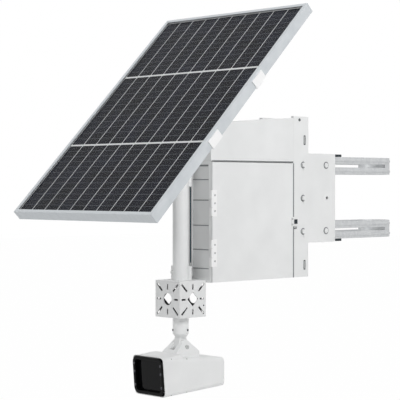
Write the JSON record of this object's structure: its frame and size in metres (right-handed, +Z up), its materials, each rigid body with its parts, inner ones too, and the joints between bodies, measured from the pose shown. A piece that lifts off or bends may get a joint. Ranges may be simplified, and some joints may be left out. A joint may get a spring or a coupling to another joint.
{
  "type": "solar-powered security camera",
  "caption": "Mast-mounted security camera fed by a tilting solar panel, with a battery cabinet behind the pole and sliding hoops that clamp to a mast.",
  "frame": {"origin": "on the mast's axis, at the middle height of the lower hoop", "axes": "+Z up along the mast; -Y is the way the lens looks; +X is the side with the service door"},
  "size_m": [0.621, 1.3513, 1.1584],
  "materials": {
    "powder_coat": "white polyester powder coat, fine texture",
    "powder_coat_grey": "light grey powder coat",
    "galvanised": "hot-dip galvanised strip",
    "anodised": "satin clear anodised extrusion",
    "zinc_fastener": "zinc plated",
    "black_steel": "black oxide, oiled",
    "rubber": "matt EPDM",
    "polyamide": "moulded polyamide",
    "pvc_blue": "shrink-wrapped PVC",
    "abs_grey": "moulded ABS, light grey",
    "abs_black": "moulded, glossy black",
    "heatsink": "black anodised",
    "glass_solar": "tempered low-iron, prismatic",
    "silicon": "monocrystalline silicon, anti-reflection blue-black",
    "tedlar": "white PVF backsheet",
    "smoked_glass": "smoked polycarbonate",
    "pcb": "solder-mask green"
  },
  "bodies": {
    "frame": {"bracket_channel": "powder_coat", "bracket_bolts": "powder_coat", "pole_jaws": "black_steel", "hoop_lock_bolts": "powder_coat", "cabinet_shell": "powder_coat", "rear_strips": "powder_coat", "roof_hood": "powder_coat", "front_cover": "powder_coat_grey", "slot_seal": "rubber", "door_gasket": "rubber", "hinge_leaves_fixed": "powder_coat", "hinge_pins": "zinc_fastener", "cabinet_glands": "polyamide", "battery_pack": "pvc_blue", "battery_strap": "galvanised", "charge_controller": "heatsink", "din_rail": "galvanised", "breaker_body": "abs_grey", "terminal_block": "abs_grey", "pole": "powder_coat", "pole_saddles": "powder_coat", "saddle_bolts": "zinc_fastener", "block_shell": "powder_coat", "block_base": "powder_coat", "camera_neck": "powder_coat", "neck_set_screws": "black_steel"},
    "upper_hoop": {"upper_hoop": "galvanised"},
    "lower_hoop": {"lower_hoop": "galvanised"},
    "door": {"door": "powder_coat", "hinge_leaves_door": "powder_coat", "door_screws": "zinc_fastener", "lock_body": "powder_coat"},
    "lock": {"lock_core": "black_steel", "lock_cam": "zinc_fastener"},
    "breaker_toggle": {"breaker_toggle": "abs_black"},
    "yoke": {"yoke_sleeve": "powder_coat", "yoke_clamp_bolts": "zinc_fastener", "tilt_pivot_bolt": "zinc_fastener", "tilt_lock_bolts": "zinc_fastener"},
    "panel": {"tilt_bracket": "powder_coat", "cross_rails": "powder_coat", "rail_screws": "zinc_fastener", "frame_sides": "anodised", "frame_ends": "anodised", "corner_keys": "anodised", "panel_glass": "glass_solar", "solar_cells": "silicon", "backsheet": "tedlar", "junction_box": "polyamide", "junction_box_lid": "polyamide"},
    "swivel": {"swivel_arm": "powder_coat", "camera_tilt_bolt": "zinc_fastener"},
    "camera": {"camera_boss": "powder_coat", "camera_body": "powder_coat", "camera_bezel": "abs_black", "camera_window": "smoked_glass", "lens_barrel": "abs_black", "led_board": "pcb", "main_board": "pcb", "camera_rear_cap": "powder_coat"}
  },
  "joints": [
    {"name": "upper_hoop_slide", "type": "slide", "parent": "frame", "child": "upper_hoop", "axis": [0, -1, 0], "range_m": [0, 0.178]},
    {"name": "lower_hoop_slide", "type": "slide", "parent": "frame", "child": "lower_hoop", "axis": [0, -1, 0], "range_m": [0, 0.178]},
    {"name": "door_hinge", "type": "hinge", "parent": "frame", "child": "door", "pos_m": [0.0788, -0.8436, 0.04], "axis": [0, 0, -1], "range_deg": [0, 110]},
    {"name": "lock_turn", "type": "hinge", "parent": "door", "child": "lock", "pos_m": [0.075, -0.472, 0.032], "axis": [1, 0, 0], "range_deg": [0, 90]},
    {"name": "breaker_switch", "type": "hinge", "parent": "frame", "child": "breaker_toggle", "pos_m": [-0.012, -0.798, 0.155], "axis": [0, 1, 0], "range_deg": [0, 50]},
    {"name": "panel_pan", "type": "hinge", "parent": "frame", "child": "yoke", "pos_m": [0, -0.898, 0.25], "axis": [0, 0, -1], "range_deg": [-45, 45]},
    {"name": "panel_tilt", "type": "hinge", "parent": "yoke", "child": "panel", "pos_m": [0, -0.898, 0.322], "axis": [1, 0, 0], "range_deg": [-15, 15]},
    {"name": "camera_pan", "type": "hinge", "parent": "frame", "child": "swivel", "pos_m": [0, -0.898, -0.3], "axis": [0, 0, 1], "range_deg": [-170, 170]},
    {"name": "camera_tilt", "type": "hinge", "parent": "swivel", "child": "camera", "pos_m": [0, -0.898, -0.337], "axis": [1, 0, 0], "range_deg": [-20, 60]}
  ]
}
